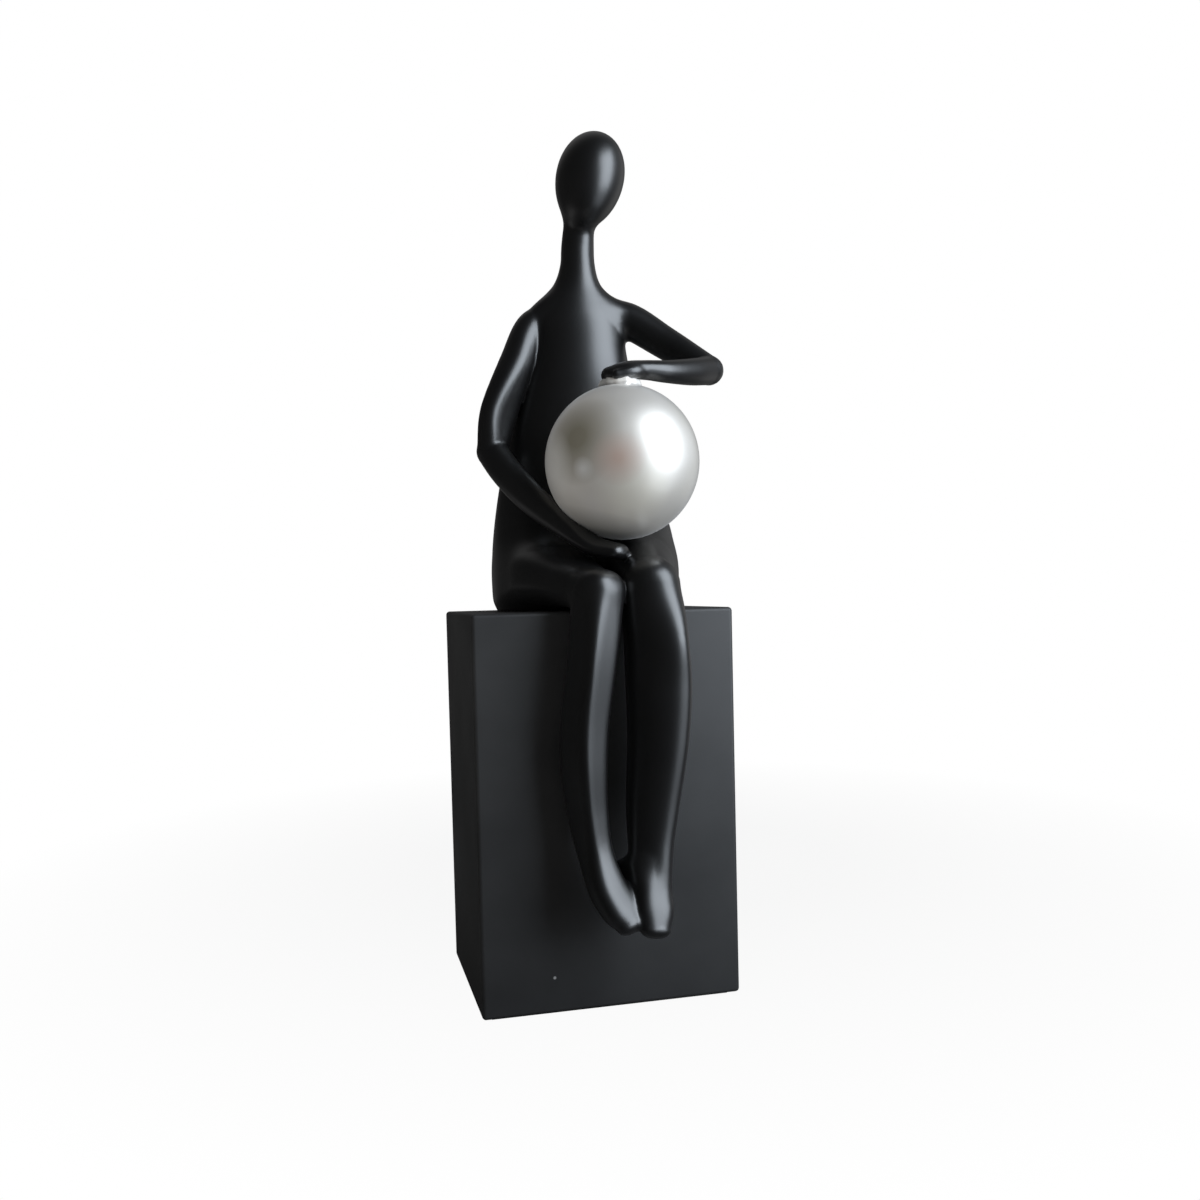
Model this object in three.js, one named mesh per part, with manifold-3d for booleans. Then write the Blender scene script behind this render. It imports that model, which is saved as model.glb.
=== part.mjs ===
// A seated figure holding a ball on its lap, on the front edge of a tall rectangular plinth.
// Millimetres, +Z up, the figure faces -Y and its left side is at +X.
// The origin is the middle of the felt that the plinth stands on.

import * as THREE from "three";
import { RoundedBoxGeometry } from "three/addons/geometries/RoundedBoxGeometry.js";
import { mergeVertices } from "three/addons/utils/BufferGeometryUtils.js";
import Module from "manifold-3d";

const wasm = await Module();
wasm.setup();

// Plinth
const PLINTH_WIDTH = 86;
const PLINTH_DEPTH = 69;
const PLINTH_HEIGHT = 128;
const PLINTH_EDGE_RADIUS = 1.2;
const PLINTH_WALL = 5;
const PLINTH_TOP_THICKNESS = 6;
const BASE_PLATE_THICKNESS = 3;
const BASE_PLATE_LEDGE = 2.4;
const FELT_THICKNESS = 1.5;
const FELT_RECESS = 0.5;
const FELT_MARGIN = 0.8;

// Fits
const BOND_GAP = 0.3;
const PIN_CLEARANCE = 0.3;
const PIN_END_CLEARANCE = 0.5;
const STUD_CLEARANCE = 0.4;

// Fixings
const PIN_DIAMETER = 3;
const SHOULDER_PIN_LENGTH = 12;
const SHOULDER_PIN_SHARE = 0.7;
const HIP_PIN_LENGTH = 20;
const HIP_PIN_SHARE = 1;
const NECK_PIN_LENGTH = 20;
const BALL_PIN_LENGTH = 10;
const BALL_PIN_IN_HAND = 3;
const STUD_DIAMETER = 6;
const STUD_REACH = 16;
const STUD_SPACING = 30;
const STUD_SETBACK = 44;
const STUD_TAIL = 3;
const WASHER_DIAMETER = 12;
const WASHER_THICKNESS = 1.4;
const NUT_ACROSS_FLATS = 10;
const NUT_HEIGHT = 5;

// Ball
const BALL_DIAMETER = 50;
const COLLAR_DIAMETER = 13.4;
const COLLAR_HEIGHT = 1.4;
const PALM_HOLLOW = 1.3;

// Places on the figure: x is to the left of its middle, y is behind the plinth's front face,
// z is above the seat
const FIGURE_OFFSET = 3.5;
const BALL_SIDE = 5;

// Torso sections from the seat to the neck: height, setback of the middle, half width, half depth, and
// how square the section is (2 is an oval). The neck also leans to the left, by x.
const BELLY = { z: 47, y: 46.5, width: 28.2, depth: 14.2, square: 2 };
const NECK_TOP = { z: 140, x: 1.2, y: 40, width: 5, depth: 4.8, square: 2 };
const TORSO_SECTIONS = [
  { z: BOND_GAP, y: 42, width: 31.2, depth: 21, square: 2.5 },
  { z: 3.5, y: 42, width: 32.4, depth: 22.6, square: 2.5 },
  { z: 11, y: 42, width: 32.6, depth: 23.2, square: 2.5 },
  { z: 22, y: 43, width: 32.2, depth: 21.5, square: 2.4 },
  { z: 32, y: 44.5, width: 31, depth: 17.5, square: 2.2 },
  BELLY,
  { z: 62, y: 46, width: 25, depth: 13, square: 2 },
  { z: 75, y: 45.3, width: 21, depth: 12.6, square: 2 },
  { z: 90, y: 44.3, width: 17.5, depth: 12, square: 2 },
  { z: 101, y: 43.5, width: 16, depth: 10.8, square: 2 },
  { z: 108, y: 43, width: 12.6, depth: 8.8, square: 2 },
  { z: 114, y: 42.5, width: 8, depth: 7, square: 2 },
  { z: 120, x: 0.2, y: 42.4, width: 6.1, depth: 6.2, square: 2 },
  { z: 127, x: 0.5, y: 42.8, width: 5.7, depth: 6, square: 2 },
  NECK_TOP,
];

// Ways that the thin side of a limb can face
const FRONT = [0, -1, 0];
const ABOVE = [0, 0, 1];
const HALF_RIGHT = [0.7, -0.7, 0];
const LEFT_FRONT = [-0.5, -0.87, 0];
const RIGHT_FRONT = [0.45, -0.89, 0];
const INSTEP = [0.3, -0.78, 0.56];
const LEFT_INSTEP = [0.26, -0.85, 0.46];
const WEB_FACE = [-0.7, -0.7, 0];

// A limb's station: place, half width, half thickness, the way its thin side faces, and how square
// its section is (2 is an oval)
function station(at, width, depth, face, square = 2) {
  return { at, width, depth, face, square };
}

const RIGHT_HAND = station([-5.5, 3.5, 20.5], 6, 3.2, ABOVE);
const RIGHT_ELBOW = [-32.9, 35, 54.2];
const RIGHT_UPPER_ARM = [
  station([-8, 43.5, 102.5], 4.6, 4.6, FRONT),
  station([-16.1, 43.3, 99.2], 5.2, 5.2, FRONT),
  station([-22.5, 40.2, 86], 5.8, 5.5, HALF_RIGHT, 2.3),
  station([-30.4, 37.3, 66], 7.4, 4.5, HALF_RIGHT, 2.6),
  station(RIGHT_ELBOW, 5.8, 4.8, HALF_RIGHT),
];
const RIGHT_FOREARM = [
  station(RIGHT_ELBOW, 5.3, 5.3, ABOVE),
  station([-29.6, 29.5, 47.4], 5.3, 5.3, ABOVE),
  station([-23, 20.5, 37.6], 5.1, 5.1, ABOVE),
  station([-13.5, 10.5, 27.5], 4.6, 4.2, ABOVE),
  RIGHT_HAND,
  station([0.5, -3, 18.5], 4.6, 2.6, ABOVE),
];

// The ball rests in the right hand and against the belly, and the left forearm lies level with its top
const BALL_RADIUS = BALL_DIAMETER / 2;
const BALL_BOTTOM = RIGHT_HAND.at[2] + RIGHT_HAND.depth - PALM_HOLLOW + BOND_GAP;
const BALL_SETBACK = BELLY.y - BELLY.depth - BOND_GAP - BALL_RADIUS;
const BALL_MIDDLE = new THREE.Vector3(BALL_SIDE, BALL_SETBACK, BALL_BOTTOM + BALL_RADIUS);
const COLLAR_TOP = BALL_MIDDLE.z + BALL_RADIUS + COLLAR_HEIGHT;
const LEFT_HAND_DEPTH = 2.7;
const LEFT_ARM_LEVEL = COLLAR_TOP + BOND_GAP + LEFT_HAND_DEPTH;
const LEFT_ELBOW = [41.5, 24, LEFT_ARM_LEVEL + 4.1];
const LEFT_UPPER_ARM = [
  station([8, 43, 103.3], 5.2, 5.2, ABOVE),
  station([17, 42, 101.9], 6.1, 6.1, ABOVE),
  station([29.4, 35, 92.6], 5.6, 5.6, ABOVE),
  station(LEFT_ELBOW, 4.9, 4.9, ABOVE),
];
const LEFT_FOREARM = [
  station(LEFT_ELBOW, 4.9, 4.9, ABOVE),
  station([31.6, 15.5, LEFT_ARM_LEVEL + 1.8], 4.4, 4.4, ABOVE),
  station([20.5, 8.5, LEFT_ARM_LEVEL + 0.4], 3.9, 3.6, ABOVE),
  station([BALL_SIDE + 8.3, 6.5, LEFT_ARM_LEVEL + 0.3], 4, 3.1, ABOVE),
  station([BALL_SIDE + 1.3, 6, LEFT_ARM_LEVEL], 5.4, LEFT_HAND_DEPTH, ABOVE),
  station([BALL_SIDE - 4, 6, LEFT_ARM_LEVEL - 1.5], 4.4, 2.4, ABOVE),
];
const LEFT_THUMB = [
  station([BALL_SIDE + 10, 7, LEFT_ARM_LEVEL + 0.1], 2, 2, ABOVE),
  station([BALL_SIDE + 3, 2.2, LEFT_ARM_LEVEL - 1.1], 2.3, 2.2, ABOVE),
  station([BALL_SIDE - 2.6, 1.4, LEFT_ARM_LEVEL - 2.3], 1.7, 1.7, ABOVE),
];

const RIGHT_THIGH = [
  station([-14.8, 40, 12.5], 15, 11.5, ABOVE, 2.4),
  station([-15.3, 24, 11.8], 15.4, 10.8, ABOVE, 2.4),
  station([-11.8, 5, 9], 10.8, 7.8, ABOVE, 2.4),
  station([-8.4, -8, 5.8], 7.8, 6.8, ABOVE, 2.4),
];
const RIGHT_SHIN = [
  station([-8.2, -9.6, 5.2], 7.2, 7.4, RIGHT_FRONT, 2.6),
  station([-11.1, -11.3, -15], 5.9, 6.7, RIGHT_FRONT, 5),
  station([-13.8, -10.6, -35], 5.7, 6.9, RIGHT_FRONT, 4.6),
  station([-14.3, -10.4, -48], 5.3, 6.8, RIGHT_FRONT, 4.6),
  station([-13.4, -10.3, -63], 4.8, 6.1, RIGHT_FRONT, 4),
  station([-11.6, -11.8, -75], 4.9, 5.2, RIGHT_FRONT, 3),
  station([-8.7, -15.5, -85.5], 6.1, 4.6, INSTEP, 2.8),
  station([-5, -18.7, -91.8], 6.6, 4, INSTEP, 2.6),
  station([-3.3, -20.3, -94.8], 5.4, 3.3, INSTEP, 2.2),
];

const LEFT_THIGH = [
  station([15, 40, 13], 15.4, 11.5, ABOVE, 2.4),
  station([13.5, 22, 13.5], 12.8, 11.5, ABOVE, 2.2),
  station([10.5, 5, 11.8], 9.8, 9.4, ABOVE),
  station([9.2, -6, 8.5], 8.4, 8.2, ABOVE),
];
const LEFT_SHIN = [
  station([9.6, -8, 7.5], 8.8, 8, [-0.2, -1, 0]),
  station([9.6, -11, -8], 10.5, 6.2, [-0.6, -0.8, 0], 2.1),
  station([10.2, -11, -24], 10.6, 6.2, LEFT_FRONT),
  station([9.8, -10.5, -40], 9.9, 6, LEFT_FRONT),
  station([7.4, -10.5, -62], 8.5, 5.4, LEFT_FRONT),
  station([6.2, -12, -75], 7.1, 5, [-0.4, -0.9, 0.1], 2.2),
  station([5.2, -15.6, -86.3], 6.2, 4.5, LEFT_INSTEP, 2.8),
  station([4.9, -18.9, -92.6], 6.1, 3.7, LEFT_INSTEP, 2.8),
  station([4.4, -21.2, -97.2], 5, 3, LEFT_INSTEP, 2.4),
];

// The thin web that fills the corner between the ankles
const ANKLE_WEB = [
  station([0, -10.8, -79.5], 7, 2.5, WEB_FACE),
  station([0, -13.5, -89], 5.5, 2.5, WEB_FACE),
];

const RIGHT_ARM = [RIGHT_UPPER_ARM, RIGHT_FOREARM];
const LEFT_ARM = [LEFT_UPPER_ARM, LEFT_FOREARM, LEFT_THUMB];
const RIGHT_LEG = [RIGHT_THIGH, RIGHT_SHIN];
const LEFT_LEG = [LEFT_THIGH, LEFT_SHIN, ANKLE_WEB];

// Head: an egg, narrower at the chin, tilted to the figure's left with its chin forward (radians)
const HEAD_LENGTH = 34;
const HEAD_WIDTH = 23.4;
const HEAD_DEPTH = 26;
const HEAD_RISE = 8;
const HEAD_SIDE = 2.8;
const HEAD_FORWARD = 2.5;
const HEAD_TILT_SIDE = 0.27;
const HEAD_TILT_BACK = 0.2;
const HEAD_TAPER = 0.08;

// Facets
const LIMB_SIDES = 16;
const LIMB_STEPS = 3;
const TORSO_SIDES = 28;
const CAP_STEPS = 3;
const BALL_SIDES = 36;
const HEAD_SIDES = 24;
const ROD_SIDES = 16;

// Derived places
const PLINTH_BOTTOM = FELT_THICKNESS - FELT_RECESS;
const SEAT = PLINTH_BOTTOM + PLINTH_HEIGHT;
const PLINTH_FRONT = -PLINTH_DEPTH / 2;

const blackPaint = new THREE.MeshStandardMaterial({ color: 0x101010, roughness: 0.38, metalness: 0 });
const silverPaint = new THREE.MeshStandardMaterial({ color: 0xbfbdb6, roughness: 0.28, metalness: 0.8 });
const steel = new THREE.MeshStandardMaterial({ color: 0x9a9a9a, roughness: 0.35, metalness: 1 });
const board = new THREE.MeshStandardMaterial({ color: 0x4a3a2a, roughness: 0.85, metalness: 0 });
const felt = new THREE.MeshStandardMaterial({ color: 0x161616, roughness: 1, metalness: 0 });

const upward = new THREE.Vector3(0, 0, 1);

// Solids

function solidOf(geometry) {
  const bare = geometry.clone();
  bare.deleteAttribute("normal");
  bare.deleteAttribute("uv");
  const merged = mergeVertices(bare, 1e-4);
  const vertProperties = new Float32Array(merged.attributes.position.array);
  const triVerts = new Uint32Array(merged.index.array);
  return new wasm.Manifold(new wasm.Mesh({ numProp: 3, vertProperties, triVerts }));
}

function geometryOf(solid) {
  const mesh = solid.getMesh();
  const geometry = new THREE.BufferGeometry();
  geometry.setAttribute("position", new THREE.BufferAttribute(new Float32Array(mesh.vertProperties), 3));
  geometry.setIndex(new THREE.BufferAttribute(new Uint32Array(mesh.triVerts), 1));
  geometry.computeVertexNormals();
  return geometry;
}

function cut(solid, tools) {
  return tools.reduce((rest, tool) => rest.subtract(tool), solid);
}

// The largest body, since trimming against a neighbour can leave a sliver on its far side.
function mainBody(solid) {
  return solid.decompose().sort((a, b) => b.volume() - a.volume())[0];
}

// Stacked rings of equal point counts, closed at both ends by a middle point.
function skinOf(rings, start, end) {
  const sides = rings[0].length;
  const points = [start, ...rings.flat(), end];
  const last = points.length - 1;
  const index = [];
  for (let side = 0; side < sides; side += 1) {
    const next = (side + 1) % sides;
    index.push(0, 1 + next, 1 + side);
    for (let ring = 0; ring + 1 < rings.length; ring += 1) {
      const low = 1 + ring * sides;
      const high = low + sides;
      index.push(low + side, low + next, high + next);
      index.push(low + side, high + next, high + side);
    }
    const top = last - sides;
    index.push(last, top + side, top + next);
  }
  const geometry = new THREE.BufferGeometry().setFromPoints(points);
  geometry.setIndex(index);
  return geometry;
}

// A closed ring about a middle point: an oval, or squarer than an oval.
function sectionRing(section, sides) {
  const bend = (value) => Math.sign(value) * Math.abs(value) ** (2 / section.square);
  const ring = [];
  for (let side = 0; side < sides; side += 1) {
    const angle = (side / sides) * Math.PI * 2;
    const point = section.middle.clone();
    point.addScaledVector(section.across, bend(Math.cos(angle)) * section.width);
    point.addScaledVector(section.through, bend(Math.sin(angle)) * section.depth);
    ring.push(point);
  }
  return ring;
}

function smoothCurve(rows) {
  return new THREE.CatmullRomCurve3(rows.map((row) => new THREE.Vector3(...row)));
}

// Sections along a smooth curve through a limb's stations, with rounded ends.
function limb(stations, grow) {
  const path = smoothCurve(stations.map((s) => s.at));
  const sizes = smoothCurve(stations.map((s) => [s.width, s.depth, s.square]));
  const faces = smoothCurve(stations.map((s) => s.face));
  const steps = (stations.length - 1) * LIMB_STEPS;
  const rings = [];
  const sectionAt = (share, push, scale) => {
    const along = path.getTangent(share);
    const across = new THREE.Vector3().crossVectors(faces.getPoint(share), along).normalize();
    const through = new THREE.Vector3().crossVectors(along, across);
    const size = sizes.getPoint(share);
    const width = (size.x + grow) * scale;
    const depth = (size.y + grow) * scale;
    const middle = path.getPoint(share).addScaledVector(along, push * (size.y + grow));
    return { middle, across, through, width, depth, square: size.z };
  };
  for (let step = 1; step < CAP_STEPS; step += 1) {
    const angle = (step / CAP_STEPS) * (Math.PI / 2);
    rings.push(sectionRing(sectionAt(0, -Math.cos(angle), Math.sin(angle)), LIMB_SIDES));
  }
  for (let step = 0; step <= steps; step += 1) {
    rings.push(sectionRing(sectionAt(step / steps, 0, 1), LIMB_SIDES));
  }
  for (let step = CAP_STEPS - 1; step > 0; step -= 1) {
    const angle = (step / CAP_STEPS) * (Math.PI / 2);
    rings.push(sectionRing(sectionAt(1, Math.cos(angle), Math.sin(angle)), LIMB_SIDES));
  }
  return skinOf(rings, sectionAt(0, -1, 1).middle, sectionAt(1, 1, 1).middle);
}

// An arm or a leg: its limbs joined into one solid.
function joined(limbs, grow) {
  return limbs.map((stations) => solidOf(limb(stations, grow))).reduce((whole, next) => whole.add(next));
}

// The body from the seat to the top of the neck, flat at both ends.
function torsoForm(grow) {
  const path = smoothCurve(TORSO_SECTIONS.map((s) => [s.x ?? 0, s.y, s.z]));
  const sizes = smoothCurve(TORSO_SECTIONS.map((s) => [s.width, s.depth, s.square]));
  const steps = (TORSO_SECTIONS.length - 1) * LIMB_STEPS;
  const across = new THREE.Vector3(1, 0, 0);
  const through = new THREE.Vector3(0, 1, 0);
  const middles = [];
  const rings = [];
  for (let step = 0; step <= steps; step += 1) {
    const size = sizes.getPoint(step / steps);
    const middle = path.getPoint(step / steps);
    if (step === 0) middle.z -= grow;
    if (step === steps) middle.z += grow;
    middles.push(middle);
    const width = size.x + grow;
    const depth = size.y + grow;
    rings.push(sectionRing({ middle, across, through, width, depth, square: size.z }, TORSO_SIDES));
  }
  return skinOf(rings, middles[0], middles[steps]);
}

function headForm() {
  const egg = new THREE.SphereGeometry(1, HEAD_SIDES, HEAD_SIDES / 2);
  egg.rotateX(Math.PI / 2);
  const spots = egg.attributes.position;
  for (let i = 0; i < spots.count; i += 1) {
    const spread = 1 + HEAD_TAPER * spots.getZ(i);
    spots.setX(i, spots.getX(i) * spread * (HEAD_WIDTH / 2));
    spots.setY(i, spots.getY(i) * spread * (HEAD_DEPTH / 2));
    spots.setZ(i, spots.getZ(i) * (HEAD_LENGTH / 2));
  }
  egg.rotateX(-HEAD_TILT_BACK);
  egg.rotateY(HEAD_TILT_SIDE);
  egg.translate(NECK_TOP.x + HEAD_SIDE, NECK_TOP.y - HEAD_FORWARD, NECK_TOP.z + HEAD_RISE);
  return egg;
}

function rod(middle, direction, diameter, length) {
  const geometry = new THREE.CylinderGeometry(diameter / 2, diameter / 2, length, ROD_SIDES);
  const turn = new THREE.Quaternion();
  turn.setFromUnitVectors(new THREE.Vector3(0, 1, 0), direction.clone().normalize());
  geometry.applyQuaternion(turn);
  geometry.translate(middle.x, middle.y, middle.z);
  return geometry;
}

// The ball with its collar, which runs down into the ball to half its radius.
function ballForm(grow) {
  const sphere = new THREE.SphereGeometry(BALL_RADIUS + grow, BALL_SIDES, BALL_SIDES / 2);
  sphere.rotateX(Math.PI / 2);
  sphere.translate(BALL_MIDDLE.x, BALL_MIDDLE.y, BALL_MIDDLE.z);
  const height = BALL_RADIUS / 2 + COLLAR_HEIGHT + grow;
  const middle = new THREE.Vector3(BALL_MIDDLE.x, BALL_MIDDLE.y, COLLAR_TOP + grow - height / 2);
  const collar = rod(middle, upward, COLLAR_DIAMETER + 2 * grow, height);
  return solidOf(sphere).add(solidOf(collar));
}

// A box that fills the plinth's place, grown by the bond line, in the figure's own places.
function plinthBlock() {
  const block = new THREE.BoxGeometry(
    PLINTH_WIDTH + 2 * BOND_GAP,
    PLINTH_DEPTH + 2 * BOND_GAP,
    PLINTH_HEIGHT + 2 * BOND_GAP,
  );
  block.translate(-FIGURE_OFFSET, PLINTH_DEPTH / 2, -PLINTH_HEIGHT / 2);
  return solidOf(block);
}

// A dowel along the first stretch of a limb, across the face where the limb meets the torso.
function limbPin(stations, share, length) {
  const inner = new THREE.Vector3(...stations[0].at);
  const outer = new THREE.Vector3(...stations[1].at);
  const middle = inner.clone().lerp(outer, share);
  return { middle, direction: outer.sub(inner), length };
}

const PINS = {
  neck_pin: {
    middle: new THREE.Vector3(NECK_TOP.x, NECK_TOP.y, NECK_TOP.z),
    direction: upward,
    length: NECK_PIN_LENGTH,
  },
  right_shoulder_pin: limbPin(RIGHT_UPPER_ARM, SHOULDER_PIN_SHARE, SHOULDER_PIN_LENGTH),
  left_shoulder_pin: limbPin(LEFT_UPPER_ARM, SHOULDER_PIN_SHARE, SHOULDER_PIN_LENGTH),
  right_hip_pin: limbPin(RIGHT_THIGH, HIP_PIN_SHARE, HIP_PIN_LENGTH),
  left_hip_pin: limbPin(LEFT_THIGH, HIP_PIN_SHARE, HIP_PIN_LENGTH),
  ball_pin: {
    middle: BALL_MIDDLE.clone().setZ(COLLAR_TOP + BALL_PIN_IN_HAND - BALL_PIN_LENGTH / 2),
    direction: upward,
    length: BALL_PIN_LENGTH,
  },
};

function pinBore(pin) {
  const diameter = PIN_DIAMETER + 2 * PIN_CLEARANCE;
  const length = pin.length + 2 * PIN_END_CLEARANCE;
  return solidOf(rod(pin.middle, pin.direction, diameter, length));
}

const studSides = { right: -STUD_SPACING / 2, left: STUD_SPACING / 2 };
const studFoot = -PLINTH_TOP_THICKNESS - WASHER_THICKNESS - NUT_HEIGHT - STUD_TAIL;

function studAt(x, diameter, top) {
  const middle = new THREE.Vector3(x, STUD_SETBACK, (studFoot + top) / 2);
  return rod(middle, upward, diameter, top - studFoot);
}

// Castings

const bores = Object.fromEntries(Object.entries(PINS).map(([name, pin]) => [name, pinBore(pin)]));
const studBores = Object.values(studSides).map((x) =>
  solidOf(studAt(x, STUD_DIAMETER + 2 * STUD_CLEARANCE, STUD_REACH + PIN_END_CLEARANCE)),
);
const torsoTool = solidOf(torsoForm(BOND_GAP));
const leftLegTool = joined(LEFT_LEG, BOND_GAP);
const rightLegTool = joined(RIGHT_LEG, BOND_GAP);
const ballTool = ballForm(BOND_GAP);
const plinthTool = plinthBlock();

const castings = {
  torso: cut(solidOf(torsoForm(0)), [
    ballTool,
    plinthTool,
    bores.neck_pin,
    bores.right_shoulder_pin,
    bores.left_shoulder_pin,
    bores.right_hip_pin,
    bores.left_hip_pin,
    ...studBores,
  ]),
  head: cut(solidOf(headForm()), [torsoTool, bores.neck_pin]),
  right_arm: cut(joined(RIGHT_ARM, 0), [
    torsoTool,
    ballTool,
    rightLegTool,
    leftLegTool,
    bores.right_shoulder_pin,
  ]),
  left_arm: cut(joined(LEFT_ARM, 0), [torsoTool, ballTool, bores.left_shoulder_pin, bores.ball_pin]),
  right_leg: cut(joined(RIGHT_LEG, 0), [
    torsoTool,
    plinthTool,
    leftLegTool,
    ballTool,
    bores.right_hip_pin,
  ]),
  left_leg: cut(joined(LEFT_LEG, 0), [torsoTool, plinthTool, ballTool, bores.left_hip_pin]),
};

const figure = new THREE.Group();
figure.position.set(FIGURE_OFFSET, PLINTH_FRONT, SEAT);

function addTo(group, name, geometry, material) {
  const mesh = new THREE.Mesh(geometry, material);
  mesh.name = name;
  group.add(mesh);
  return mesh;
}

for (const [name, solid] of Object.entries(castings)) {
  addTo(figure, name, geometryOf(mainBody(solid)), blackPaint);
}
addTo(figure, "ball", geometryOf(cut(ballForm(0), [bores.ball_pin])), silverPaint);
for (const [name, pin] of Object.entries(PINS)) {
  addTo(figure, name, rod(pin.middle, pin.direction, PIN_DIAMETER, pin.length), steel);
}

// Fixings under the seat

function washer() {
  const disc = rod(new THREE.Vector3(), upward, WASHER_DIAMETER, WASHER_THICKNESS);
  const hole = rod(new THREE.Vector3(), upward, STUD_DIAMETER + 2 * STUD_CLEARANCE, 2 * WASHER_THICKNESS);
  return geometryOf(cut(solidOf(disc), [solidOf(hole)]));
}

function nut() {
  const corner = NUT_ACROSS_FLATS / Math.sqrt(3);
  const hexagon = new THREE.CylinderGeometry(corner, corner, NUT_HEIGHT, 6);
  hexagon.rotateX(Math.PI / 2);
  const hole = rod(new THREE.Vector3(), upward, STUD_DIAMETER + 2 * PIN_CLEARANCE, 2 * NUT_HEIGHT);
  return geometryOf(cut(solidOf(hexagon), [solidOf(hole)]));
}

for (const [side, x] of Object.entries(studSides)) {
  addTo(figure, `${side}_stud`, studAt(x, STUD_DIAMETER, STUD_REACH), steel);
  const underTop = -PLINTH_TOP_THICKNESS;
  const washerMesh = addTo(figure, `${side}_washer`, washer(), steel);
  washerMesh.position.set(x, STUD_SETBACK, underTop - WASHER_THICKNESS / 2);
  const nutMesh = addTo(figure, `${side}_nut`, nut(), steel);
  nutMesh.position.set(x, STUD_SETBACK, underTop - WASHER_THICKNESS - NUT_HEIGHT / 2);
}

// Plinth

function boxFrom(width, depth, bottom, top) {
  const geometry = new THREE.BoxGeometry(width, depth, top - bottom);
  geometry.translate(0, 0, (bottom + top) / 2);
  return geometry;
}

const cavityWidth = PLINTH_WIDTH - 2 * PLINTH_WALL;
const cavityDepth = PLINTH_DEPTH - 2 * PLINTH_WALL;
const rebateWidth = cavityWidth + 2 * BASE_PLATE_LEDGE;
const rebateDepth = cavityDepth + 2 * BASE_PLATE_LEDGE;
const rebateTop = PLINTH_BOTTOM + FELT_RECESS + BASE_PLATE_THICKNESS;

function plinthShell() {
  const block = new RoundedBoxGeometry(PLINTH_WIDTH, PLINTH_DEPTH, PLINTH_HEIGHT, 2, PLINTH_EDGE_RADIUS);
  block.translate(0, 0, PLINTH_BOTTOM + PLINTH_HEIGHT / 2);
  const cavity = boxFrom(cavityWidth, cavityDepth, 0, SEAT - PLINTH_TOP_THICKNESS);
  const rebate = boxFrom(rebateWidth, rebateDepth, 0, rebateTop);
  const holes = Object.values(studSides).map((x) => {
    const hole = studAt(x, STUD_DIAMETER + 2 * STUD_CLEARANCE, STUD_REACH);
    hole.translate(FIGURE_OFFSET, PLINTH_FRONT, SEAT);
    return solidOf(hole);
  });
  return geometryOf(cut(solidOf(block), [solidOf(cavity), solidOf(rebate), ...holes]));
}

const plate = boxFrom(
  rebateWidth - 2 * BOND_GAP,
  rebateDepth - 2 * BOND_GAP,
  FELT_THICKNESS,
  FELT_THICKNESS + BASE_PLATE_THICKNESS,
);
const sheet = boxFrom(rebateWidth - 2 * FELT_MARGIN, rebateDepth - 2 * FELT_MARGIN, 0, FELT_THICKNESS);

const ornament = new THREE.Group();
addTo(ornament, "plinth_shell", plinthShell(), blackPaint);
addTo(ornament, "base_plate", plate, board);
addTo(ornament, "base_felt", sheet, felt);
ornament.add(figure);

export default ornament;
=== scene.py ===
"""A seated figure in satin black paint that holds a silver ball, on a tall plinth."""

import math

import bmesh
import bpy
import numpy as np
from mathutils import Matrix, Vector


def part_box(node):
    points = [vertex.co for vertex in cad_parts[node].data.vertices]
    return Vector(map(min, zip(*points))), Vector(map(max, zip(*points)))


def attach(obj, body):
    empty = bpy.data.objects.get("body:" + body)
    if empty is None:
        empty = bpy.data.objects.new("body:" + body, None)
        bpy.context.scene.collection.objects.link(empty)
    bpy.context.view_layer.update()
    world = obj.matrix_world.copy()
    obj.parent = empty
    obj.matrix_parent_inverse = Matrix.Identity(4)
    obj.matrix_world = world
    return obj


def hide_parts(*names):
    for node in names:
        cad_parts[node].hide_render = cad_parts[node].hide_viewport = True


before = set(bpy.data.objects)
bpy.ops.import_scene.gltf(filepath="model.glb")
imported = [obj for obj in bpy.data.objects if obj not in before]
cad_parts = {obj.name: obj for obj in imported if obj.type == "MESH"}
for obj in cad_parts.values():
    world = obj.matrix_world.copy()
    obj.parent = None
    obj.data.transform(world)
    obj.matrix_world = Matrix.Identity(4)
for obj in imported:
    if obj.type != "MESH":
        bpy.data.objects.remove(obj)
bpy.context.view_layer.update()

MM = 0.001

# Places from the frame. In the figure's own places x is to the left of its middle, y is behind the
# plinth's front face and z is above the seat, in millimetres.
plinth_low, plinth_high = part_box("plinth_shell")
torso_low, torso_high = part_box("torso")
FIGURE_ORIGIN = np.array([(torso_low.x + torso_high.x) / 2, plinth_low.y, plinth_high.z])

ball_low, ball_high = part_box("ball")
BALL_RADIUS = (ball_high.x - ball_low.x) / 2 / MM
BALL_MIDDLE = (np.array([(ball_low.x + ball_high.x) / 2, (ball_low.y + ball_high.y) / 2, ball_low.z])
               - FIGURE_ORIGIN) / MM + [0, 0, BALL_RADIUS]
COLLAR_TOP = (ball_high.z - FIGURE_ORIGIN[2]) / MM

# Stations: place, half width, half thickness, how square the section is (2 is an oval), and the way
# the thin side faces
FRONT = (0, -1, 0)
ABOVE = (0, 0, 1)
HALF_RIGHT = (0.7, -0.7, 0)
LEFT_FRONT = (-0.5, -0.87, 0)
RIGHT_FRONT = (0.45, -0.89, 0)
INSTEP = (0.3, -0.78, 0.56)
LEFT_INSTEP = (0.26, -0.85, 0.46)
WEB_FACE = (-0.7, -0.7, 0)

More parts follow.
